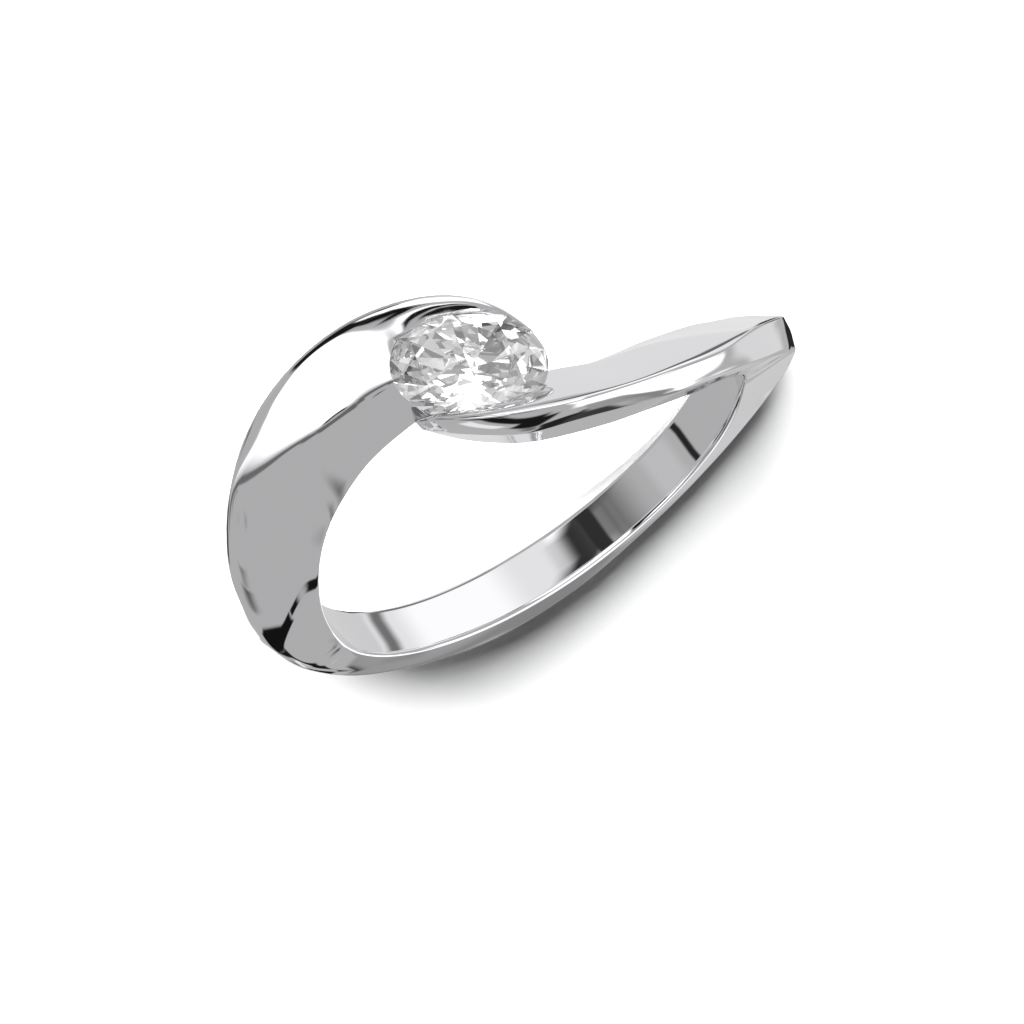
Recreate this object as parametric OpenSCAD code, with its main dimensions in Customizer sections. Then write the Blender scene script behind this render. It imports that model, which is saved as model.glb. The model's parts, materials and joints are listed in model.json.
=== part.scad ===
// Crossover solitaire ring in polished white gold: one band whose two arms pass each other
// and hold one oval brilliant-cut stone by its long sides. All lengths in millimetres.
// Worn frame used while building: x across the hand, y along the finger, z toward the stone.
// The ring is the same when it is turned half round z; the table gives the half with x > 0.

/* [Band] */
// inside diameter of the finger hole
bore_d = 17; // [16.8:0.05:17.3]
// scale of the band's width along the finger, 1 as photographed
width_k = 1; // [0.9:0.02:1.1]
// steps between two rows of the section table
steps = 3; // [2:1:4]

/* [Stone] */
// length of the oval at the girdle
stone_l = 5.25; // [4.95:0.05:5.4]
// width of the oval at the girdle
stone_w = 3.8; // [3.5:0.05:3.85]
// height of the girdle above the finger's axis
stone_z = 11.4; // [11.2:0.05:11.45]
// angle of the long axis from x toward the wearer's fingertip
stone_turn = 40.5; // [38:0.5:42]
// height of the crown above the girdle
crown_h = 0.52; // [0.4:0.02:0.6]
// depth of the pavilion below the girdle
pavilion_h = 1.5; // [1.3:0.05:1.6]
// thickness of the girdle
girdle_t = 0.1; // [0.06:0.01:0.14]
// size of the table against the girdle
table_k = 0.64; // [0.58:0.02:0.68]
// clearance of the seat round the stone
seat_gap = 0.03; // [0.02:0.01:0.05]

/* [Rest] */
// lean of the band over its shoulders when it lies on its side
lean_a = 4.85; // [0:0.05:9]
// lean of the band over its stone when it lies on its side
lean_b = 7.19; // [0:0.05:12]

/* [Hidden] */
bore_r = bore_d / 2;
gold = [0.86, 0.86, 0.87];
diamond = [0.93, 0.96, 0.98];

// Sections of one half, seen across the band at an angle phi about the finger, 0 at +x and
// 90 at the stone. r is the distance from the finger's axis, y the place along the finger.
// Columns: phi, y of the inner front edge, y of the inner back edge, r and y of the outer
// front edge, r and y of the shoulder, r and y of the rim, r and y of the lower back crease,
// r and y of the upper one.
half = [
  [-90, -1.08,  1.08,  9.92, -1.02,  9.94,  0.00,  9.92,  1.02,  9.07,  1.06,  9.35,  1.04],
  [-70, -1.05,  1.10,  9.52, -0.94,  9.80, -0.10, 10.10,  1.05,  9.12,  1.06,  9.52,  1.05],
  [-50, -1.03,  1.08,  9.46, -0.95,  9.65, -0.20,  9.90,  0.99,  9.10,  1.03,  9.50,  1.00],
  [-35, -1.05,  1.06,  9.70, -1.00,  9.77, -0.35,  9.88,  0.93,  9.20,  0.98,  9.55,  0.95],
  [-24, -1.08,  1.03, 10.12, -1.03, 10.08, -0.50,  9.95,  0.88,  9.40,  0.95,  9.72,  0.91],
  [-18, -1.10,  1.02, 10.50, -1.01, 10.41, -0.62, 10.09,  0.77,  9.60,  0.91,  9.85,  0.84],
  [-14, -1.12,  1.00, 10.77, -1.00, 10.69, -0.74, 10.22,  0.64,  9.80,  0.84, 10.01,  0.72],
  [-11, -1.16,  0.98, 10.91, -1.00, 10.85, -0.82, 10.37,  0.51,  9.94,  0.74, 10.15,  0.62],
  [ -8, -1.22,  0.95, 10.97, -1.03, 10.93, -0.91, 10.45,  0.38, 10.05,  0.62, 10.26,  0.48],
  [ -4, -1.32,  0.87, 10.76, -1.21, 10.85, -1.05, 10.56,  0.14, 10.15,  0.40, 10.39,  0.27],
  [  0, -1.45,  0.78, 10.55, -1.46, 10.81, -1.12, 10.70, -0.12, 10.15,  0.24, 10.46,  0.05],
  [  4, -1.61,  0.67, 10.42, -1.73, 10.81, -1.14, 10.74, -0.42,  9.96,  0.16, 10.40, -0.15],
  [ 10, -1.85,  0.49, 10.30, -2.15, 10.82, -1.24, 10.80, -0.92,  9.57,  0.07, 10.20, -0.43],
  [ 20, -2.26,  0.17, 10.20, -2.68, 10.90, -1.81, 11.02, -1.62,  9.08, -0.20, 10.28, -1.11],
  [ 30, -2.62, -0.17, 10.20, -3.15, 10.87, -2.55, 11.20, -2.22,  8.93, -0.56, 10.58, -1.83],
  [ 40, -2.96, -0.45, 10.25, -3.50, 10.88, -3.16, 11.40, -2.78,  9.20, -1.05, 10.95, -2.45],
  [ 50, -3.13, -0.63, 10.30, -3.75, 10.97, -3.63, 11.54, -3.34,  9.75, -1.47, 10.95, -2.35],
  [ 60, -3.17, -0.76, 10.40, -3.86, 11.15, -3.84, 11.80, -3.58,  9.60, -1.36, 10.70, -1.98],
  [ 70, -3.06, -0.72, 10.50, -3.63, 11.33, -3.75, 12.08, -3.61,  9.50, -1.22, 10.52, -1.72],
  [ 80, -2.70, -0.60, 10.60, -3.25, 11.52, -3.41, 12.37, -3.30,  9.60, -0.93, 10.80, -1.27],
  [ 88, -2.22, -0.36, 10.70, -2.83, 11.66, -2.87, 12.55, -2.66,  9.55, -0.72, 10.65, -1.05],
  [ 94, -1.57,  0.02, 10.80, -2.15, 11.65, -2.15, 12.46, -1.93,  9.50, -0.30, 10.55, -0.62],
  [ 99, -0.87,  0.56, 10.80, -1.34, 11.40, -1.26, 11.95, -1.03,  9.30,  0.30, 10.25,  0.12],
  [103, -0.14,  1.06, 10.50, -0.50, 10.70, -0.31, 10.80, -0.22,  9.10,  0.92,  9.85,  0.68],
];
rows = len(half);

// slope of a column at a row, from the rows beside it
function slope(i, c) =
  let (a = max(i - 1, 0), b = min(i + 1, rows - 1))
  (half[b][c] - half[a][c]) / (half[b][0] - half[a][0]);
// a column between two rows by a cubic with those slopes
function between(i, c, t) =
  let (d = half[i + 1][0] - half[i][0], p = half[i][c], q = half[i + 1][c])
  p * (1 + 2 * t) * pow(1 - t, 2) + q * t * t * (3 - 2 * t)
  + d * t * (1 - t) * (slope(i, c) * (1 - t) - slope(i + 1, c) * t);
// all columns at one step along the half
function section(s) =
  let (i = min(floor(s / steps), rows - 2), t = s / steps - i)
  [for (c = [0:12]) c == 0 ? half[i][0] + t * (half[i + 1][0] - half[i][0]) : between(i, c, t)];
// a point of the section set out in space
function place(phi, r, y) = [r * cos(phi), y * width_k, r * sin(phi)];
// the seven corners in order, the inner two carried inward so that the bore cuts them
function corners(v) =
  let (phi = v[0], dip = 0.4,
       k1 = dip / (v[3] - bore_r), k2 = dip / (v[9] - bore_r + 0.01))
  [place(phi, bore_r - dip, v[1] - k1 * (v[4] - v[1])),
   place(phi, v[3], v[4]), place(phi, v[5], v[6]), place(phi, v[7], v[8]), place(phi, v[11], v[12]),
   place(phi, v[9], v[10]), place(phi, bore_r - dip, v[2] - min(k2, 0.8) * (v[10] - v[2]))];

// one half of the band, from the bottom of the hoop to the tip of its arm
module half_band() {
  n = (rows - 1) * steps;
  points = [for (s = [0:n]) each corners(section(s))];
  sides = [for (s = [0:n - 1], j = [0:6])
    let (k = (j + 1) % 7, a = s * 7 + j, b = s * 7 + k, c = a + 7, d = b + 7)
    each [[a, d, b], [a, c, d]]];
  caps = [for (j = [1:5]) each [[0, j, j + 1], [n * 7, n * 7 + j + 1, n * 7 + j]]];
  polyhedron(points = points, faces = concat(sides, caps), convexity = 8);
}

// oval brilliant cut: table, 8 stars, 8 bezels, 16 upper girdle facets, girdle,
// 16 lower girdle facets and 8 mains that meet at the culet
module oval_cut(grow) {
  a = stone_l / 2 + grow;
  b = stone_w / 2 + grow;
  top = crown_h + grow;
  deep = pavilion_h + grow;
  mid_k = 0.82;
  low_k = 0.3;
  half_t = girdle_t / 2 + grow;
  mid_h = top * (1 - mid_k * cos(22.5)) / (1 - table_k);
  low_h = deep * (1 - low_k * cos(22.5));
  ring8 = [0:7];
  ring16 = [0:15];
  points = concat(
    [for (i = ring8) [a * table_k * cos(45 * i), b * table_k * sin(45 * i), half_t + top]],
    [for (i = ring8) [a * mid_k * cos(45 * i + 22.5), b * mid_k * sin(45 * i + 22.5), half_t + mid_h]],
    [for (i = ring16) [a * cos(22.5 * i), b * sin(22.5 * i), half_t]],
    [for (i = ring16) [a * cos(22.5 * i), b * sin(22.5 * i), -half_t]],
    [for (i = ring8) [a * low_k * cos(45 * i + 22.5), b * low_k * sin(45 * i + 22.5), -half_t - low_h]],
    [[0, 0, -half_t - deep]]);
  faces = concat(
    [[7, 6, 5, 4, 3, 2, 1, 0]],
    [for (i = ring8) [i, (i + 1) % 8, 8 + i]],
    [for (i = ring8) each [[i, 8 + i, 16 + 2 * i], [i, 16 + 2 * i, 8 + (i + 7) % 8]]],
    [for (i = ring8) each [[8 + i, 17 + 2 * i, 16 + 2 * i],
                           [8 + i, 16 + (2 * i + 2) % 16, 17 + 2 * i]]],
    [for (i = ring16) let (j = (i + 1) % 16) each [[16 + i, 16 + j, 32 + j], [16 + i, 32 + j, 32 + i]]],
    [for (i = ring8) each [[48 + i, 32 + 2 * i, 33 + 2 * i],
                           [48 + i, 33 + 2 * i, 32 + (2 * i + 2) % 16]]],
    [for (i = ring8) each [[56, 32 + 2 * i, 48 + i], [56, 48 + (i + 7) % 8, 32 + 2 * i]]]);
  translate([0, 0, stone_z]) rotate([0, 0, -stone_turn])
    polyhedron(points = points, faces = faces, convexity = 2);
}

// a point of the worn ring after the ring is laid on its side and leaned
function lean(p) =
  let (y = p[2] * cos(lean_a) + p[1] * sin(lean_a), z = p[2] * sin(lean_a) - p[1] * cos(lean_a))
  [p[0] * cos(lean_b) + z * sin(lean_b), y, z * cos(lean_b) - p[0] * sin(lean_b)];
// all outer corners of both halves in that place, and the box that they fill
outer = [for (s = [0:(rows - 1) * steps]) let (c = corners(section(s)))
  for (j = [1:5], turn = [1, -1]) lean([turn * c[j][0], turn * c[j][1], c[j][2]])];
low = [for (k = [0:2]) min([for (p = outer) p[k]])];
high = [for (k = [0:2]) max([for (p = outer) p[k]])];

// lays the ring on its side with its lowest point at height 0 and its box centred on the origin
module laid() {
  translate([-(low[0] + high[0]) / 2, -(low[1] + high[1]) / 2, -low[2]])
    rotate([lean_a, lean_b, 0]) rotate([-90, 0, 0]) children();
}

module band() {
  color(gold) laid() difference() {
    union() {
      half_band();
      rotate([0, 0, 180]) half_band();
    }
    rotate([90, 0, 0]) cylinder(r = bore_r, h = 14, center = true, $fn = 180);
    oval_cut(seat_gap);
  }
}

module stone() {
  color(diamond) laid() oval_cut(0);
}

band();
stone();
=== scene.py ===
# Crossover solitaire ring: one polished band whose two arms pass each other and hold an oval stone.
import json
import math
import bpy
import numpy as np
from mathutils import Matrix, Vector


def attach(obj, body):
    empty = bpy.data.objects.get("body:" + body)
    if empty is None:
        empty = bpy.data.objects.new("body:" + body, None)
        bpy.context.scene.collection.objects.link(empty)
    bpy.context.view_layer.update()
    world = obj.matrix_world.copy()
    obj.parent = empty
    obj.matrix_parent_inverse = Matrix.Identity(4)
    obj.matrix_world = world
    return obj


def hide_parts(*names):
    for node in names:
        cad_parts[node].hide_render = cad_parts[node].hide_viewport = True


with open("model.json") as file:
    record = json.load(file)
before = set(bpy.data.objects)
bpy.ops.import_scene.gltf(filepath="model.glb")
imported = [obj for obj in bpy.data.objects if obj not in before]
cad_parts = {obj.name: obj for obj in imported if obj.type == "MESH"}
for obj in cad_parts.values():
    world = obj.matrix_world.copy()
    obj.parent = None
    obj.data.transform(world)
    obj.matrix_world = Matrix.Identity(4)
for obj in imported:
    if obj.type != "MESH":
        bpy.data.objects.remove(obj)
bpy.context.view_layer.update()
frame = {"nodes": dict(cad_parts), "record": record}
print("frame loaded:", sorted(frame["nodes"]))

# How the worn ring is laid on its side. Worn: x across the hand, y along the finger, z to the stone.
lying = {
    "leanOverShoulders": 4.85,   # degrees
    "leanOverStone": 7.19,       # degrees
    "holeMiddle": frame["record"]["mounts"][0]["pos_m"],   # metres, middle of the finger hole
}


def turnAbout(axis, degrees):
    # rotation matrix about x, y or z, counted from 0: cosines on the diagonal and sines beside it
    c, s = math.cos(math.radians(degrees)), math.sin(math.radians(degrees))
    j, k = (axis + 1) % 3, (axis + 2) % 3
    matrix = np.eye(3)
    matrix[j, j] = matrix[k, k] = c
    matrix[j, k], matrix[k, j] = -s, s
    return matrix


layDown = turnAbout(1, lying["leanOverStone"]) @ turnAbout(0, lying["leanOverShoulders"]) @ turnAbout(0, -90)


def laid(points):
    # worn millimetres to lying metres: turn, scale by a thousandth, move to the hole's middle
    return points @ layDown.T / 1000 + np.array(lying["holeMiddle"])


def toLinear(shares):
    # the sRGB curve from 0 to 1: a straight line near 0, then a power, which also runs on past 1
    shares = np.asarray(shares)
    return np.where(shares <= 0.04045, shares / 12.92, ((shares + 0.055) / 1.055) ** 2.4)


def linear(hexColour):
    # sRGB hex to linear red, green, blue and an alpha of 1
    shares = [int(hexColour[i:i + 2], 16) / 255 for i in (1, 3, 5)]
    return (*toLinear(shares).tolist(), 1.0)


def addNode(tree, kind, inputs=None, **settings):
    # a node with its settings; an input is a value or the socket that feeds it
    node = tree.nodes.new(kind)
    for name, value in settings.items():
        setattr(node, name, value)
    for name, value in (inputs or {}).items():
        if isinstance(value, bpy.types.NodeSocket):
            tree.links.new(value, node.inputs[name])
        else:
            node.inputs[name].default_value = value
    return node


def addMesh(name, points, faces, smooth):
    # points in metres and faces of any size become an object at the origin
    mesh = bpy.data.meshes.new(name)
    mesh.from_pydata(np.asarray(points).tolist(), [], [np.asarray(f).tolist() for f in faces])
    mesh.polygons.foreach_set("use_smooth", np.full(len(mesh.polygons), smooth))
    mesh.update()
    piece = bpy.data.objects.new(name, mesh)
    bpy.context.scene.collection.objects.link(piece)
    return piece


# Band

# Sections of one half, at an angle phi about the finger, 0 across the hand and 90 at the stone.
# Columns: phi, y of the inner front edge, y of the inner back edge, r and y of the outer front
# edge, r and y of the shoulder, r and y of the rim, r and y of the lower back crease, r and y of
# the upper one, in mm.
bandRows = np.array([
    [-90, -1.08, 1.08, 9.92, -1.02, 9.94, 0.00, 9.92, 1.02, 9.07, 1.06, 9.35, 1.04],
    [-70, -1.05, 1.10, 9.52, -0.94, 9.80, -0.10, 10.10, 1.05, 9.12, 1.06, 9.52, 1.05],
    [-50, -1.03, 1.08, 9.46, -0.95, 9.65, -0.20, 9.90, 0.99, 9.10, 1.03, 9.50, 1.00],
    [-35, -1.05, 1.06, 9.70, -1.00, 9.77, -0.35, 9.88, 0.93, 9.20, 0.98, 9.55, 0.95],
    [-24, -1.08, 1.03, 10.12, -1.03, 10.08, -0.50, 9.95, 0.88, 9.40, 0.95, 9.72, 0.91],
    [-18, -1.10, 1.02, 10.50, -1.01, 10.41, -0.62, 10.09, 0.77, 9.60, 0.91, 9.85, 0.84],
    [-14, -1.12, 1.00, 10.77, -1.00, 10.69, -0.74, 10.22, 0.64, 9.80, 0.84, 10.01, 0.72],
    [-11, -1.16, 0.98, 10.91, -1.00, 10.85, -0.82, 10.37, 0.51, 9.94, 0.74, 10.15, 0.62],
    [-8, -1.22, 0.95, 10.97, -1.03, 10.93, -0.91, 10.45, 0.38, 10.05, 0.62, 10.26, 0.48],
    [-4, -1.32, 0.87, 10.76, -1.21, 10.85, -1.05, 10.56, 0.14, 10.15, 0.40, 10.39, 0.27],
    [0, -1.45, 0.78, 10.55, -1.46, 10.81, -1.12, 10.70, -0.12, 10.15, 0.24, 10.46, 0.05],
    [4, -1.61, 0.67, 10.42, -1.73, 10.81, -1.14, 10.74, -0.42, 9.96, 0.16, 10.40, -0.15],
    [10, -1.85, 0.49, 10.30, -2.15, 10.82, -1.24, 10.80, -0.92, 9.57, 0.07, 10.20, -0.43],
    [20, -2.26, 0.17, 10.20, -2.68, 10.90, -1.81, 11.02, -1.62, 9.08, -0.20, 10.28, -1.11],
    [30, -2.62, -0.17, 10.20, -3.15, 10.87, -2.55, 11.20, -2.22, 8.93, -0.56, 10.58, -1.83],
    [40, -2.96, -0.45, 10.25, -3.50, 10.88, -3.16, 11.40, -2.78, 9.20, -1.05, 10.95, -2.45],
    [50, -3.13, -0.63, 10.30, -3.75, 10.97, -3.63, 11.54, -3.34, 9.75, -1.47, 10.95, -2.35],
    [60, -3.17, -0.76, 10.40, -3.86, 11.15, -3.84, 11.80, -3.58, 9.60, -1.36, 10.70, -1.98],
    [70, -3.06, -0.72, 10.50, -3.63, 11.33, -3.75, 12.08, -3.61, 9.50, -1.22, 10.52, -1.72],
    [80, -2.70, -0.60, 10.60, -3.25, 11.52, -3.41, 12.37, -3.30, 9.60, -0.93, 10.80, -1.27],
    [88, -2.22, -0.36, 10.70, -2.83, 11.66, -2.87, 12.55, -2.66, 9.55, -0.72, 10.65, -1.05],
    [94, -1.57, 0.02, 10.80, -2.15, 11.65, -2.15, 12.46, -1.93, 9.50, -0.30, 10.55, -0.62],
    [99, -0.87, 0.56, 10.80, -1.34, 11.40, -1.26, 11.95, -1.03, 9.30, 0.30, 10.25, 0.12],
    [103, -0.14, 1.06, 10.50, -0.50, 10.70, -0.31, 10.80, -0.22, 9.10, 0.92, 9.85, 0.68],
])
# How far the polishing rounds each corner back along its faces, in mm.
# Columns: phi, inner front, two points of the front face, outer front, shoulder, rim, upper back
# crease, lower back crease, inner back, and the rim toward the back.
roundRows = np.array([
    [-90, 0.22, 0.30, 0.30, 0.18, 0.30, 0.18, 0.30, 0.30, 0.22, 0.18],
    [-40, 0.22, 0.30, 0.30, 0.18, 0.30, 0.20, 0.30, 0.30, 0.20, 0.20],
    [-15, 0.16, 0.30, 0.30, 0.14, 0.14, 0.25, 0.30, 0.30, 0.12, 0.25],
    [0, 0.10, 0.30, 0.30, 0.14, 0.14, 0.25, 0.25, 0.25, 0.08, 0.25],
    [20, 0.07, 0.30, 0.30, 0.16, 0.25, 0.22, 0.25, 0.25, 0.08, 0.45],
    [40, 0.07, 0.30, 0.30, 0.16, 0.40, 0.22, 0.25, 0.25, 0.08, 0.70],
    [60, 0.07, 0.30, 0.30, 0.16, 0.60, 0.22, 0.25, 0.25, 0.08, 0.85],
    [75, 0.07, 0.25, 0.25, 0.16, 0.60, 0.30, 0.25, 0.25, 0.08, 1.10],
    [90, 0.07, 0.20, 0.20, 0.16, 0.60, 0.50, 0.20, 0.20, 0.08, 1.30],
    [103, 0.06, 0.10, 0.10, 0.10, 0.12, 0.12, 0.10, 0.10, 0.06, 0.12],
])
band = {
    "boreRadius": 8.5,           # mm
    "endAngle": 103,             # degrees, phi of each tip
    "rowStep": 0.6,              # degrees between two sections
    "easing": 1.1,               # degrees, spread of the bell curve that eases the corners' run
    "frontFacePoints": (0.4, 0.6),   # shares of the way from the inner to the outer front edge
    "longestLeg": 0.47,          # of a side's length, so that two rounded corners stay apart
    "cornerMove": 12,            # a corner moves out by the sum of its legs divided by this
    "arcPoints": 9,              # on each rounded corner
    "facePoints": 4,             # between two corners
    "tipLength": 0.12,           # mm that the rounded tip stands beyond the last section
    "tipRows": 5,
    "drawnIn": [1, 0.9993, 0.9995],   # shares of x, y and z that keep the close rows in the solids' box
}


def throughRows(rows, phi):
    # each column runs through its rows as a cubic whose slope at a row is that between its neighbours
    at, values = rows[:, 0], rows[:, 1:]
    before = np.maximum(np.arange(len(at)) - 1, 0)
    after = np.minimum(np.arange(len(at)) + 1, len(at) - 1)
    slope = (values[after] - values[before]) / (at[after] - at[before])[:, None]
    i = np.clip(np.searchsorted(at, phi, side="right") - 1, 0, len(at) - 2)
    gap = (at[i + 1] - at[i])[:, None]
    t = (phi - at[i])[:, None] / gap
    return (values[i] * (1 + 2 * t) * (1 - t) ** 2 + values[i + 1] * t * t * (3 - 2 * t)
            + gap * t * (1 - t) * (slope[i] * (1 - t) - slope[i + 1] * t))


def halfCorners(phi):
    # radius and y of the nine corners of the half with x above 0: inner front, two points of the front
    # face, outer front, shoulder, rim, upper back crease, lower back crease, inner back
    v = throughRows(bandRows, phi)
    corners = np.zeros((len(phi), 9, 2))
    corners[:, 0] = np.stack([np.full(len(phi), band["boreRadius"]), v[:, 0]], -1)
    corners[:, 3:6] = v[:, 2:8].reshape(-1, 3, 2)
    corners[:, 6], corners[:, 7] = v[:, 10:12], v[:, 8:10]
    corners[:, 8] = np.stack([np.full(len(phi), band["boreRadius"]), v[:, 1]], -1)
    for place, share in zip((1, 2), band["frontFacePoints"]):
        corners[:, place] = corners[:, 0] * (1 - share) + corners[:, 3] * share
    return corners


def halfLegs(phi):
    # how far each corner is rounded toward the corner before it and toward the one after it, which
    # differs at the rim alone
    legs = throughRows(roundRows, phi)
    before, after = legs[:, :9], legs[:, :9].copy()
    after[:, 5] = legs[:, 9]
    return before, after


def allRound(theta):
    # one half as it is, the other as the first turned half round the stone's axis: its angle is -180
    # less the first's, its y is the opposite, and its corners come in the reverse order
    near, far = np.maximum(theta, -90), np.maximum(-180 - theta, -90)
    isNear = (theta >= -90)[:, None, None]
    corners = np.where(isNear, halfCorners(near), halfCorners(far)[:, ::-1] * [1, -1])
    (before, after), (farAfter, farBefore) = halfLegs(near), halfLegs(far)
    return (corners, np.where(isNear[..., 0], before, farBefore[:, ::-1]),
            np.where(isNear[..., 0], after, farAfter[:, ::-1]))


def eased(values, step, spread):
    # weighted mean of the neighbouring rows by a bell curve, as far as three times its spread; past
    # each end the rows are mirrored through the last one
    reach = int(np.ceil(3 * spread / step))
    offset = np.arange(-reach, reach + 1) * step
    weight = np.exp(-offset ** 2 / (2 * spread ** 2))
    before, after = 2 * values[:1] - values[reach:0:-1], 2 * values[-1:] - values[-2:-reach - 2:-1]
    padded = np.concatenate([before, values, after])
    return sum(w * padded[j:j + len(values)] for j, w in enumerate(weight / weight.sum()))


def alongSides(corners, legBefore, legAfter):
    # steps from each corner along the side before it and the side after it: the unit vector of the side
    # times the leg, or times a share of the side where that is shorter
    steps = []
    for turned, leg in ((1, legBefore), (-1, legAfter)):
        side = np.roll(corners, turned, 1) - corners
        length = np.linalg.norm(side, axis=2, keepdims=True)
        steps.append(side / length * np.minimum(leg[..., None], band["longestLeg"] * length))
    return steps


def roundedSections(corners, legBefore, legAfter):
    # polygon with a parabola at each corner that starts and ends as far from it as the legs say; each
    # corner but the innermost two first moves out a little, so that the arc nearly touches its old place
    before, after = alongSides(corners, legBefore, legAfter)
    move = -(before + after) / band["cornerMove"]
    move[:, [0, 8]] = 0
    corners = corners + move
    before, after = alongSides(corners, legBefore, legAfter)
    start, end = corners + before, corners + after
    t = np.linspace(0, 1, band["arcPoints"])[:, None]
    arc = start[:, :, None] * (1 - t) ** 2 + 2 * t * (1 - t) * corners[:, :, None] + end[:, :, None] * t * t
    s = (np.arange(1, band["facePoints"] + 1) / (band["facePoints"] + 1))[:, None]
    face = end[:, :, None] * (1 - s) + np.roll(start, -1, 1)[:, :, None] * s
    return np.concatenate([arc, face], 2).reshape(len(corners), -1, 2)


def bandSurface():
    # sections carried round the finger from tip to tip; at each tip a dome of sections follows, which
    # shrink with the cosine and move ahead with the sine of an angle that runs to a right angle
    first, last = -180 - band["endAngle"], band["endAngle"]
    theta = np.linspace(first, last, int(round((last - first) / band["rowStep"])) + 1)
    step = theta[1] - theta[0]
    corners, legBefore, legAfter = allRound(theta)
    corners = eased(corners, step, band["easing"])
    corners[:, [0, 8], 0] = band["boreRadius"]
    section = roundedSections(corners, legBefore, legAfter)
    angle = np.radians(theta)[:, None]
    grid = np.stack([section[..., 0] * np.cos(angle), section[..., 1], section[..., 0] * np.sin(angle)], -1)
    u = np.linspace(0, np.pi / 2, band["tipRows"] + 1)[1:, None, None]
    domes = []
    for edge, inward in ((grid[0], grid[1]), (grid[-1], grid[-2])):
        middle = edge.mean(0)
        ahead = middle - inward.mean(0)
        ahead = ahead / np.linalg.norm(ahead) * band["tipLength"]
        domes.append(middle + (edge - middle) * np.cos(u) + ahead * np.sin(u))
    tips = np.stack([domes[0][-1].mean(0), domes[1][-1].mean(0)])
    grid = np.concatenate([domes[0][:-1][::-1], grid, domes[1][:-1]])
    return grid, tips


def tubeFaces(rows, columns):
    # quads of a closed tube of points and a fan to each of the two tip points that follow them
    i, j = np.arange(rows - 1)[:, None] * columns, np.arange(columns)
    k = (j + 1) % columns
    quads = np.stack([i + j, i + k, i + columns + k, i + columns + j], -1).reshape(-1, 4)
    tip = np.full(columns, rows * columns)
    end = (rows - 1) * columns
    return [*quads, *np.stack([tip, k, j], -1), *np.stack([tip + 1, end + j, end + k], -1)]


# Stone

stone = {
    "length": 5.25,          # mm at the girdle
    "width": 3.8,
    "height": 11.4,          # mm from the finger's axis to the girdle
    "turn": -40.5,           # degrees from across the hand
    "crown": 0.52,           # mm from the girdle to the table
    "pavilion": 1.5,         # mm from the girdle to the culet
    "girdle": 0.1,           # mm thick
    "table": 0.64,           # of the radius, as are the next two
    "starTip": 0.82,         # where the outer points of the star facets lie
    "lowerTip": 0.3,         # where the inner points of the lower halves lie
    "girdleSides": 96,
    "blank": 9,              # half the side of the square that each facet is cut from, in radii
    "facetSeed": 5,          # draws the light of each facet
    "seatGap": 0.03,         # mm of air between the stone and its seat
}


def stonePoints(radius, degrees, height):
    # points of a round stone of radius 1: cosine and sine of the angle times the radius, and a height
    a = np.radians(degrees)
    return np.stack([radius * np.cos(a), radius * np.sin(a), np.broadcast_to(height, a.shape)], -1)


def planeThrough(p, q, r):
    # planes through three points, as unit normals away from the middle of the stone and distances from
    # it: the cross product of two sides, and its dot product with a point
    normal = np.cross(q - p, r - p)
    normal = normal / np.linalg.norm(normal, axis=1, keepdims=True)
    distance = (normal * p).sum(1)
    side = np.sign(distance)
    return normal * side[:, None], distance * side


def stonePlanes(grown):
    # 8 stars, 8 bezels, 8 mains, the table, 16 upper and 16 lower halves and the sides of the girdle,
    # for a round stone of radius 1 whose heights are real; the bezels rise in a straight line from the
    # girdle to the table's corners and the mains fall in one to the culet, which sets the tips' heights
    half = stone["girdle"] / 2 + grown
    crown, pavilion = stone["crown"] + grown, stone["pavilion"] + grown
    slant = math.cos(math.pi / 8)     # a tip lies a sixteenth of a round beside the middle of its facet
    starHeight = half + crown * (1 - stone["starTip"] * slant) / (1 - stone["table"])
    lowHeight = -half - pavilion * (1 - stone["lowerTip"] * slant)
    main = np.arange(8) * 45.0        # degrees of the bezels and mains
    between = 22.5                    # degrees from each of them to the tips
    corner = stonePoints(stone["table"], main, half + crown)
    star = stonePoints(stone["starTip"], main + between, starHeight)
    low = stonePoints(stone["lowerTip"], main + between, lowHeight)
    culet = np.broadcast_to([0.0, 0.0, -half - pavilion], (8, 3))
    sets = [planeThrough(corner, np.roll(corner, -1, 0), star),
            planeThrough(corner, star, np.roll(star, 1, 0)),
            planeThrough(culet, low, np.roll(low, 1, 0)),
            (np.array([[0.0, 0.0, 1.0]]), np.array([half + crown]))]
    for shift in (0, between):
        for tip, height in ((star, half), (low, -half)):
            a, b = (stonePoints(1, main + shift + further, height) for further in (0, between))
            sets.append(planeThrough(tip, a, b))
    side = np.arange(stone["girdleSides"]) * 360 / stone["girdleSides"]
    sets.append((stonePoints(1, side, 0.0), np.ones(len(side))))
    return np.concatenate([s[0] for s in sets]), np.concatenate([s[1] for s in sets])


def facetPolygon(own, normals, distances):
    # a wide square in the facet's own plane, cut in turn by every other plane: points past the plane
    # go, and where a side crosses it a new point comes, at the share of the side that reaches it
    n = normals[own]
    steep = abs(n[2]) < 0.9
    u = np.cross(n, [0.0, 0.0, 1.0] if steep else [1.0, 0.0, 0.0])
    u = u / np.linalg.norm(u)
    v = np.cross(n, u)
    polygon = n * distances[own] + stone["blank"] * np.array([u + v, v - u, -u - v, u - v])
    onPlane = 1e-9     # a point nearer than this counts as on the plane
    for other in np.delete(np.arange(len(normals)), own):
        beyond = polygon @ normals[other] - distances[other]
        outside = beyond > onPlane
        if not outside.any():
            continue
        step = np.roll(beyond, -1) - beyond
        share = beyond / np.where(step == 0, 1, step)
        cut = polygon - share[:, None] * (np.roll(polygon, -1, 0) - polygon)
        crossing = outside != np.roll(outside, -1)
        polygon = np.stack([polygon, cut], 1)[np.stack([~outside, crossing], 1)]
        if len(polygon) < 3:
            break
    return polygon


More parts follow.
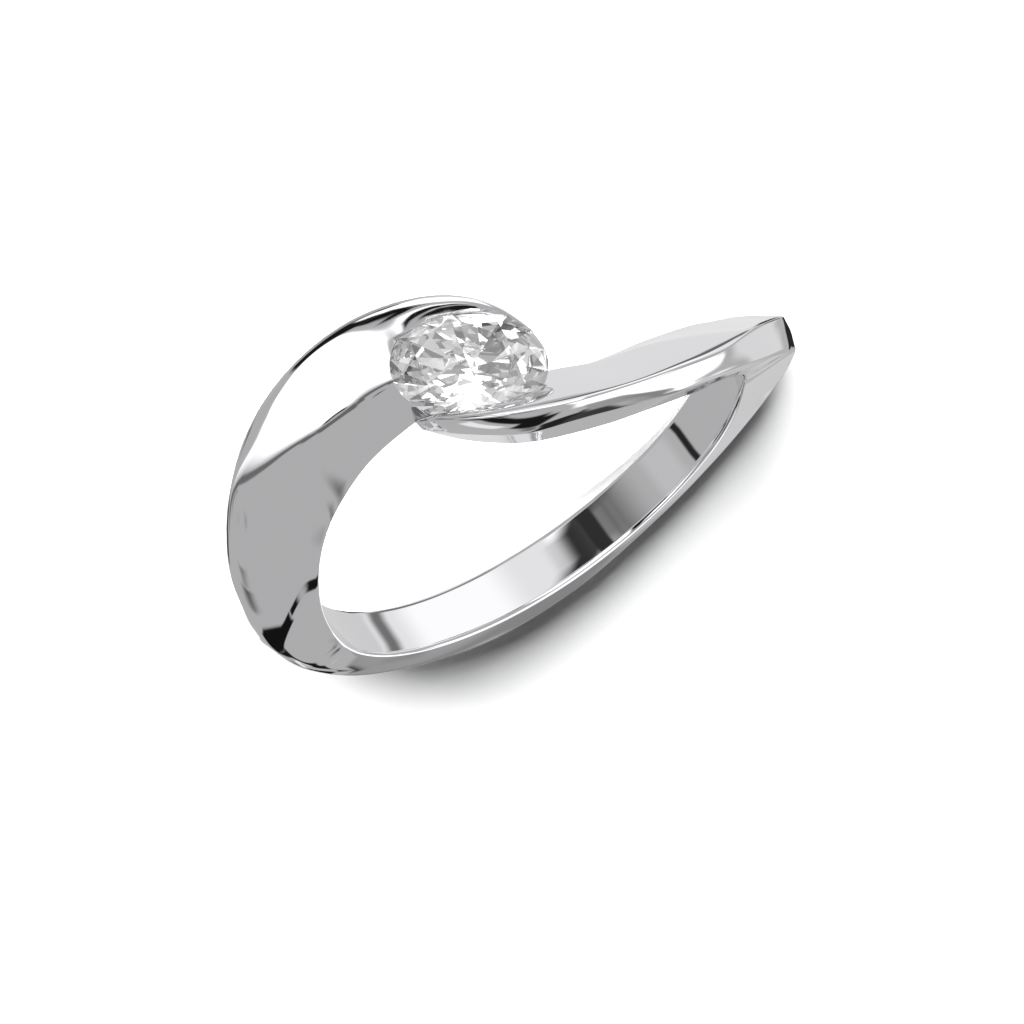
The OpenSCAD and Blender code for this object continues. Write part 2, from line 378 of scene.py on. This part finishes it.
def stoneSolid(grown):
    # the polygons of all planes, with points that agree to five decimals joined, scaled to the oval,
    # turned, lifted and laid; also says which faces are sides of the girdle
    normals, distances = stonePlanes(grown)
    polygons = [facetPolygon(own, normals, distances) for own in range(len(normals))]
    points, numbers = np.unique(np.round(np.concatenate(polygons), 5), axis=0, return_inverse=True)
    runs = np.split(numbers.ravel(), np.cumsum([len(polygon) for polygon in polygons])[:-1])
    faces, sides = [], []
    for own, run in enumerate(runs):
        run = run[run != np.roll(run, 1)]
        if len(run) > 2:
            faces.append(run)
            sides.append(own >= len(normals) - stone["girdleSides"])
    oval = points * [stone["length"] / 2 + grown, stone["width"] / 2 + grown, 1]
    worn = oval @ turnAbout(2, stone["turn"]).T + [0, 0, stone["height"]]
    return laid(worn), faces, sides


def cutSeat(piece):
    # the band less the space of a stone that is larger all round by the gap
    points, faces, _ = stoneSolid(stone["seatGap"])
    cutter = addMesh("seatCutter", points, faces, False)
    cut = piece.modifiers.new("seat", "BOOLEAN")
    cut.operation, cut.solver, cut.object = "DIFFERENCE", "EXACT", cutter
    evaluated = piece.evaluated_get(bpy.context.evaluated_depsgraph_get())
    mesh = bpy.data.meshes.new_from_object(evaluated)
    piece.modifiers.clear()
    piece.data = mesh
    bpy.data.objects.remove(cutter)


def shareLight(piece, points, faces):
    # each facet under the girdle gets its own share of the light that is thrown to and fro in the stone,
    # the square of a random number from 0 to 1, so that few are bright; the other facets get none
    middles = np.array([points[face].mean(axis=0) for face in faces])
    under = (middles - points.mean(axis=0)) @ layDown[:, 2] < 0
    shares = np.where(under, np.random.default_rng(stone["facetSeed"]).random(len(faces)) ** 2, 0)
    facetLight = piece.data.attributes.new("facetLight", "FLOAT", "FACE")
    facetLight.data.foreach_set("value", shares.astype(np.float32))


grid, tips = bandSurface()
bandPoints = laid(np.concatenate([grid.reshape(-1, 3), tips])) * band["drawnIn"]
bandPiece = addMesh("polished_band", bandPoints, tubeFaces(*grid.shape[:2]), True)
cutSeat(bandPiece)
print("band ready:", len(bandPiece.data.polygons), "faces")

facetPoints, facets, onGirdle = stoneSolid(0)
stonePiece = addMesh("oval_diamond", facetPoints, facets, False)
stonePiece.data.polygons.foreach_set("material_index", np.array(onGirdle, np.int32))
shareLight(stonePiece, facetPoints, facets)
print("stone ready:", len(stonePiece.data.polygons), "facets")

for piece, node, slot in ((bandPiece, "band", "white_gold"), (stonePiece, "stone", "diamond")):
    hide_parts(node)
    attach(piece, "root")


# Materials

gold = {
    "colour": "#eeeef0",
    "roughness": 0.035,
    "unevenness": 0.2,       # share by which the roughness rises and falls with the waves
    "buffing": 0.35,         # mm between the faint waves that a buffing wheel leaves, coarser than real
    "waveHeight": 0.00002,   # mm
}
diamond = {
    "ior": 2.417,
    "facetLight": 0.34,      # brightest facet under the girdle, where white is 1
    "girdleColour": "#e4e6ea",
    "girdleGrain": 0.05,     # mm between grains, coarser than real
    "girdleSmoothest": 0.3,  # roughness
    "girdleRoughest": 0.5,
    "girdleClear": 0.8,      # share of the light that the frosted girdle lets through
}


def newMaterial(name):
    # an empty material and its node tree
    material = bpy.data.materials.new(name)
    material.use_nodes = True
    material.node_tree.nodes.clear()
    return material, material.node_tree


def polishedWhiteGold():
    # 18 carat white gold, cast, buffed to a mirror and rhodium plated: a cool light grey mirror, with
    # waves too shallow to see but in the way they soften the edges of reflections
    material, tree = newMaterial("polished white gold")
    place = addNode(tree, "ShaderNodeTexCoord").outputs["Object"]
    waves = addNode(tree, "ShaderNodeTexNoise", {
        "Vector": place, "Scale": 1000 / gold["buffing"], "Detail": 2.0}).outputs["Fac"]
    least, most = (gold["roughness"] * (1 + sign * gold["unevenness"]) for sign in (-1, 1))
    roughness = addNode(tree, "ShaderNodeMapRange", {"Value": waves, "To Min": least, "To Max": most})
    bump = addNode(tree, "ShaderNodeBump", {
        "Height": waves, "Distance": gold["waveHeight"] / 1000, "Strength": 1.0})
    shader = addNode(tree, "ShaderNodeBsdfPrincipled", {
        "Base Color": linear(gold["colour"]), "Metallic": 1.0, "Roughness": roughness.outputs["Result"],
        "Normal": bump.outputs["Normal"]})
    addNode(tree, "ShaderNodeOutputMaterial", {"Surface": shader.outputs["BSDF"]})
    return material


def cutDiamond():
    # colourless diamond, cut and polished flat on a lap: clear, with sharp reflections at every facet
    material, tree = newMaterial("cut diamond")
    # the light that is thrown to and fro between the facets more often than a render follows it
    facet = addNode(tree, "ShaderNodeAttribute", {}, attribute_name="facetLight").outputs["Fac"]
    glow = addNode(tree, "ShaderNodeMapRange", {"Value": facet, "To Max": diamond["facetLight"]})
    shader = addNode(tree, "ShaderNodeBsdfPrincipled", {
        "Base Color": (1, 1, 1, 1), "Transmission Weight": 1.0, "IOR": diamond["ior"], "Roughness": 0.0,
        "Emission Color": (1, 1, 1, 1), "Emission Strength": glow.outputs["Result"]})
    addNode(tree, "ShaderNodeOutputMaterial", {"Surface": shader.outputs["BSDF"]})
    return material


def brutedGirdle():
    # the girdle is ground round against another diamond and left finely frosted, a thin dull line
    material, tree = newMaterial("bruted diamond girdle")
    place = addNode(tree, "ShaderNodeTexCoord").outputs["Object"]
    grain = addNode(tree, "ShaderNodeTexNoise", {
        "Vector": place, "Scale": 1000 / diamond["girdleGrain"], "Detail": 3.0}).outputs["Fac"]
    roughness = addNode(tree, "ShaderNodeMapRange", {
        "Value": grain, "To Min": diamond["girdleSmoothest"], "To Max": diamond["girdleRoughest"]})
    shader = addNode(tree, "ShaderNodeBsdfPrincipled", {
        "Base Color": linear(diamond["girdleColour"]), "Transmission Weight": diamond["girdleClear"],
        "IOR": diamond["ior"], "Roughness": roughness.outputs["Result"]})
    addNode(tree, "ShaderNodeOutputMaterial", {"Surface": shader.outputs["BSDF"]})
    return material


bandPiece.data.materials.clear()
bandPiece.data.materials.append(polishedWhiteGold())
stonePiece.data.materials.append(cutDiamond())
stonePiece.data.materials.append(brutedGirdle())
print("materials ready")

# Studio

# The light that the polished metal mirrors: white and grey panels round the ring, with soft edges.
# Columns: azimuth and elevation of the middle, half width and half height, width of the soft edge
# aside and upright, lean of the middle in degrees aside per degree upright, all in degrees, and the
# brightness as a grey, where 255 is white and more is brighter than white.
panels = [
    ["floor side", 310, -52, 80, 26, 20, 6, 0, 233],
    ["left hoop", 308, -28, 30, 4, 6, 3, 0, 216],
    ["camera side", 90, 15, 32, 40, 6, 10, 0, 300],
    ["overhead white", 303, 62, 38, 22, 6, 8, 0, 300],
    ["near low", 264, -20, 6, 6, 4, 4, 0, 225],
    ["hoop side", 30, -14, 60, 22, 8, 12, 0, 242],
    ["bright hoop", 30, -18, 30, 16, 20, 10, 0, 270],
    ["rear gap", 340, -28, 5.5, 7, 8, 3, 0, 120],
    ["rim shade", 15, -41, 45, 8, 14, 5, 0, 110],
    ["dark hoop", 107.5, -15.5, 16, 8, 22, 2, -2, 50],
    ["hoop shade", 120, -12, 10, 12, 28, 6, 0, 95],
    ["dark hoop end", 110, -12, 4, 10, 2, 6, 0, 50],
    ["hoop light", 157, -12, 9, 5, 8, 2, 0, 200],
    ["left edge", 199, 8, 9, 14, 3, 5, 0, 45],
    ["dark line", 175, -13, 2.2, 6, 2, 3, 0, 40],
    ["white fade", 160, 46, 16, 18, 24, 4, 0, 300],
    ["white side", 150, 46, 13, 18, 3, 4, 0, 300],
    ["rim black", 126, 37, 4.5, 10, 3, 3, 0, 20],
    ["rim black high", 130, 49, 4, 4, 3, 3, 0, 20],
    ["rim black low", 135, 12.5, 12.5, 15.5, 3, 4, 0, 25],
    ["rim black 2", 147, 62.8, 6, 2.3, 4, 2, 0, 20],
    ["rim black 3", 166, 66.3, 12, 1.2, 6, 1, 0, 20],
    ["crease gap", 206, 68.5, 17, 6.5, 10, 4, 0, 107],
    ["crease gap middle", 203, 59.5, 10, 3, 8, 2, 0, 108],
    ["crease gap low", 194.5, 48, 7.5, 11.5, 7, 3, 0, 112],
    ["black flag", 230.5, 31.5, 9.5, 12, 2.5, 2, -0.1, 20],
    ["black flag 2", 225.5, 47.5, 5, 3, 2.5, 2, 0, 20],
    ["white strip", 288, 24, 14, 10, 2, 3, 0, 300],
    ["white strip 2", 271, 29, 5.5, 6, 3, 4, 0, 300],
    ["front black 1", 250, 24, 9.5, 4.5, 2, 3, 0, 25],
    ["front black 2", 258.3, 17.5, 4, 7, 1.5, 3, 0, 25],
    ["front black 3", 265.2, 4, 2.7, 6.5, 0.8, 3, 0, 36],
    ["front black 4", 268, 6, 1.2, 7.5, 0.8, 3, 0, 60],
    ["front glint", 246.5, 12, 5.5, 3, 2, 2, 0, 245],
    ["shank side", 270.5, 15, 3, 8, 1, 6, 0, 158],
    ["shank side 2", 274.8, 11, 3.2, 7, 2, 4, 0, 140],
    ["right side", 281, 4, 4, 10, 3, 4, 0, 212],
    ["end light", 303, -3, 8, 12, 6, 5, 0, 226],
    ["end edge", 284, -22.5, 4, 4, 2, 3, 0, 40],
    ["top edge", 305, -38.5, 15, 5, 3, 3, 0, 30],
    ["top edge 2", 306, -22.5, 10, 3.5, 3, 3, 0, 30],
]
studio = {
    "baseGrey": 184,          # where no panel is
    "floorSize": 3,           # metres
    "floorColour": "#f4f4f4",
    "fill": 0.08,             # light on the floor from all round
    "patchScale": 3.0,        # of the noise behind the soft patches of the room seen through the stone
    "patchDark": 0.38,        # noise up to this is dark
    "patchBright": 0.52,      # noise from this on is bright
    "stoneDark": 0.1,         # light of the dark patches, where white is 1
    "stoneBright": 2.0,       # and of the bright ones
    "keyAzimuth": 92,         # degrees, nearly the side that the camera is on
    "keyElevation": 10,
    "keyAngle": 24,           # degrees across, which sets how soft the shadow is
    "keyStrength": 34,        # watts per square metre
    "lampBlend": 0.3,         # share of a lamp's beam that fades out
    "lampRadius": 0.001,      # metres
}
# Lamps that keep the paper inside the hoop white. Columns: where the beam meets the floor, x and y
# in mm, the azimuth and elevation that it comes from, distance and radius lit in mm, and watts.
holeLamps = [
    ["lamp down the hole", -0.29, -1.17, -34.1, 81.3, 100, 9.0, 0.9],
    ["lamp from the front", -6.9, -5.9, 85.5, 26.2, 130, 3.2, 3.4],
]


def brightness(grey):
    # linear light of an sRGB grey, where 255 is white
    return float(toLinear(grey / 255))


def lightStudio():
    # the world's colour by direction: each panel in turn is mixed over the ones before it, by the
    # product of two masks that fall from 1 to 0 across its soft edges, aside and upright
    world = bpy.data.worlds.new("studio")
    bpy.context.scene.world = world
    world.use_nodes = True
    tree = world.node_tree
    tree.nodes.clear()
    toward = addNode(tree, "ShaderNodeTexCoord").outputs["Generated"]
    x, y, z = addNode(tree, "ShaderNodeSeparateXYZ", {"Vector": toward}).outputs
    around = addNode(tree, "ShaderNodeMath", {0: y, 1: x}, operation="ARCTAN2")
    rise = addNode(tree, "ShaderNodeMath", {0: z}, operation="ARCSINE")
    azimuth, elevation = (addNode(tree, "ShaderNodeMath", {0: angle.outputs[0]}, operation="DEGREES")
                          for angle in (around, rise))
    light = addNode(tree, "ShaderNodeValue").outputs[0]
    light.default_value = brightness(studio["baseGrey"])
    for name, az, el, halfWidth, halfHeight, softAside, softUpright, lean, grey in panels:
        leaning = addNode(tree, "ShaderNodeMath", {
            0: elevation.outputs[0], 1: -lean, 2: azimuth.outputs[0]}, operation="MULTIPLY_ADD")
        aside = addNode(tree, "ShaderNodeMath", {
            0: leaning.outputs[0], 1: az - lean * el}, operation="SUBTRACT")
        wrapped = addNode(tree, "ShaderNodeMath", {
            0: aside.outputs[0], 1: 180.0, 2: -180.0}, operation="WRAP")
        upright = addNode(tree, "ShaderNodeMath", {0: elevation.outputs[0], 1: el}, operation="SUBTRACT")
        masks = []
        for offset, half, soft in ((wrapped, halfWidth, softAside), (upright, halfHeight, softUpright)):
            size = addNode(tree, "ShaderNodeMath", {0: offset.outputs[0]}, operation="ABSOLUTE")
            masks.append(addNode(tree, "ShaderNodeMapRange", {
                "Value": size.outputs[0], "From Min": half - soft / 2, "From Max": half + soft / 2,
                "To Min": 1.0, "To Max": 0.0}, interpolation_type="SMOOTHSTEP", label=name))
        mask = addNode(tree, "ShaderNodeMath", {
            0: masks[0].outputs["Result"], 1: masks[1].outputs["Result"]}, operation="MULTIPLY")
        change = addNode(tree, "ShaderNodeMath", {0: brightness(grey), 1: light}, operation="SUBTRACT")
        light = addNode(tree, "ShaderNodeMath", {
            0: mask.outputs[0], 1: change.outputs[0], 2: light}, operation="MULTIPLY_ADD").outputs[0]
    # the stone gathers light from a whole bright room, so through it the world is bright with soft
    # dark patches; the floor gets an even light, and the background is plain white
    rays = addNode(tree, "ShaderNodeLightPath").outputs
    patches = addNode(tree, "ShaderNodeTexNoise", {
        "Vector": toward, "Scale": studio["patchScale"], "Detail": 1.0}).outputs["Fac"]
    inStone = addNode(tree, "ShaderNodeMapRange", {
        "Value": patches, "From Min": studio["patchDark"], "From Max": studio["patchBright"],
        "To Min": studio["stoneDark"], "To Max": studio["stoneBright"]}).outputs["Result"]
    seenBy = {"Is Diffuse Ray": studio["fill"], "Is Transmission Ray": inStone, "Is Camera Ray": 1.0}
    for ray, seen in seenBy.items():
        light = addNode(tree, "ShaderNodeMix", {0: rays[ray], 2: light, 3: seen}).outputs[0]
    background = addNode(tree, "ShaderNodeBackground", {"Color": (1, 1, 1, 1), "Strength": light})
    addNode(tree, "ShaderNodeOutputWorld", {"Surface": background.outputs[0]})


def direction(azimuth, elevation):
    # unit vector toward an azimuth from +x and an elevation, in degrees: its level part is as long as
    # the elevation's cosine, and its height is the elevation's sine
    a, e = math.radians(azimuth), math.radians(elevation)
    return np.array([math.cos(a) * math.cos(e), math.sin(a) * math.cos(e), math.sin(e)])


def layFloor():
    # a level square of matt white paper under the ring, which takes its shadow
    half = studio["floorSize"] / 2
    floor = addMesh("floor", [[-half, -half, 0], [half, -half, 0], [half, half, 0], [-half, half, 0]],
                    [[0, 1, 2, 3]], False)
    material, tree = newMaterial("matt white paper")
    shader = addNode(tree, "ShaderNodeBsdfDiffuse", {"Color": linear(studio["floorColour"])})
    addNode(tree, "ShaderNodeOutputMaterial", {"Surface": shader.outputs[0]})
    floor.data.materials.append(material)
    floor.visible_glossy = False        # the metal mirrors the panels alone
    floor.visible_transmission = False


def hangLight(name, kind, energy, toward):
    # a light turned so that it shines back along a vector; neither the metal nor the stone shows it
    light = bpy.data.lights.new(name, kind)
    light.energy = energy
    hung = bpy.data.objects.new(name, light)
    bpy.context.scene.collection.objects.link(hung)
    hung.rotation_mode = "QUATERNION"
    hung.rotation_quaternion = Vector(toward.tolist()).to_track_quat("Z", "Y")
    hung.visible_glossy = False
    hung.visible_transmission = False
    return hung


def hangKey():
    # the low light that throws the ring's shadow
    toward = direction(studio["keyAzimuth"], studio["keyElevation"])
    key = hangLight("key", "SUN", studio["keyStrength"], toward)
    key.data.angle = math.radians(studio["keyAngle"])


def hangHoleLamps():
    # each lamp stands off from where its beam meets the floor, and its beam's half angle is the arc
    # tangent of the radius lit over the distance
    for name, x, y, azimuth, elevation, distance, reach, watts in holeLamps:
        toward = direction(azimuth, elevation)
        lamp = hangLight(name, "SPOT", watts, toward)
        lamp.location = (np.array([x, y, 0]) + toward * distance) / 1000
        lamp.data.spot_size = 2 * math.atan(reach / distance)
        lamp.data.spot_blend = studio["lampBlend"]
        lamp.data.shadow_soft_size = studio["lampRadius"]


lightStudio()
layFloor()
hangKey()
hangHoleLamps()
print("studio ready:", len(panels), "panels")

# Camera

view = {
    "aside": 9.4,            # degrees from straight along the finger, in the worn frame
    "above": 68.6,           # degrees toward the stone
    "roll": -24.9,           # degrees
    "distance": 125,         # mm from the finger's axis
    "scale": 28.26,          # pixels for a millimetre at the finger's axis
    "axisPixel": (522.9, 481.9),   # where the middle of the finger hole shows
    "pictureSize": 1024,     # pixels
    "sensor": 36,            # mm
    "nearest": 0.005,        # metres, nothing nearer to the camera or past the farthest shows
    "farthest": 10,
}


def setCamera():
    # the camera stands back from the middle of the finger hole, along a line turned aside and above, and
    # rolls about it; the lens is the scale times the distance times a pixel's size on the sensor, and
    # the shift brings the hole's middle to its pixel
    a, e, roll = (math.radians(view[key]) for key in ("aside", "above", "roll"))
    back = np.array([-math.sin(a) * math.cos(e), -math.cos(a) * math.cos(e), math.sin(e)])
    level = np.array([math.cos(a), -math.sin(a), 0])
    upright = np.cross(back, level)
    right = math.cos(roll) * level + math.sin(roll) * upright
    up = math.cos(roll) * upright - math.sin(roll) * level
    lens = bpy.data.cameras.new("camera")
    lens.sensor_width = view["sensor"]
    lens.lens = view["scale"] * view["distance"] * view["sensor"] / view["pictureSize"]
    half = view["pictureSize"] / 2
    lens.shift_x = -(view["axisPixel"][0] - half) / view["pictureSize"]
    lens.shift_y = (view["axisPixel"][1] - half) / view["pictureSize"]
    lens.clip_start, lens.clip_end = view["nearest"], view["farthest"]
    camera = bpy.data.objects.new("camera", lens)
    bpy.context.scene.collection.objects.link(camera)
    place = np.eye(4)
    place[:3, :3] = np.stack([layDown @ right, layDown @ up, layDown @ back], 1)
    place[:3, 3] = laid(back * view["distance"])
    camera.matrix_world = Matrix(place.tolist())
    bpy.context.scene.camera = camera


setCamera()
bpy.context.scene.view_settings.view_transform = "Standard"   # shows each colour as it is given
print("camera ready")
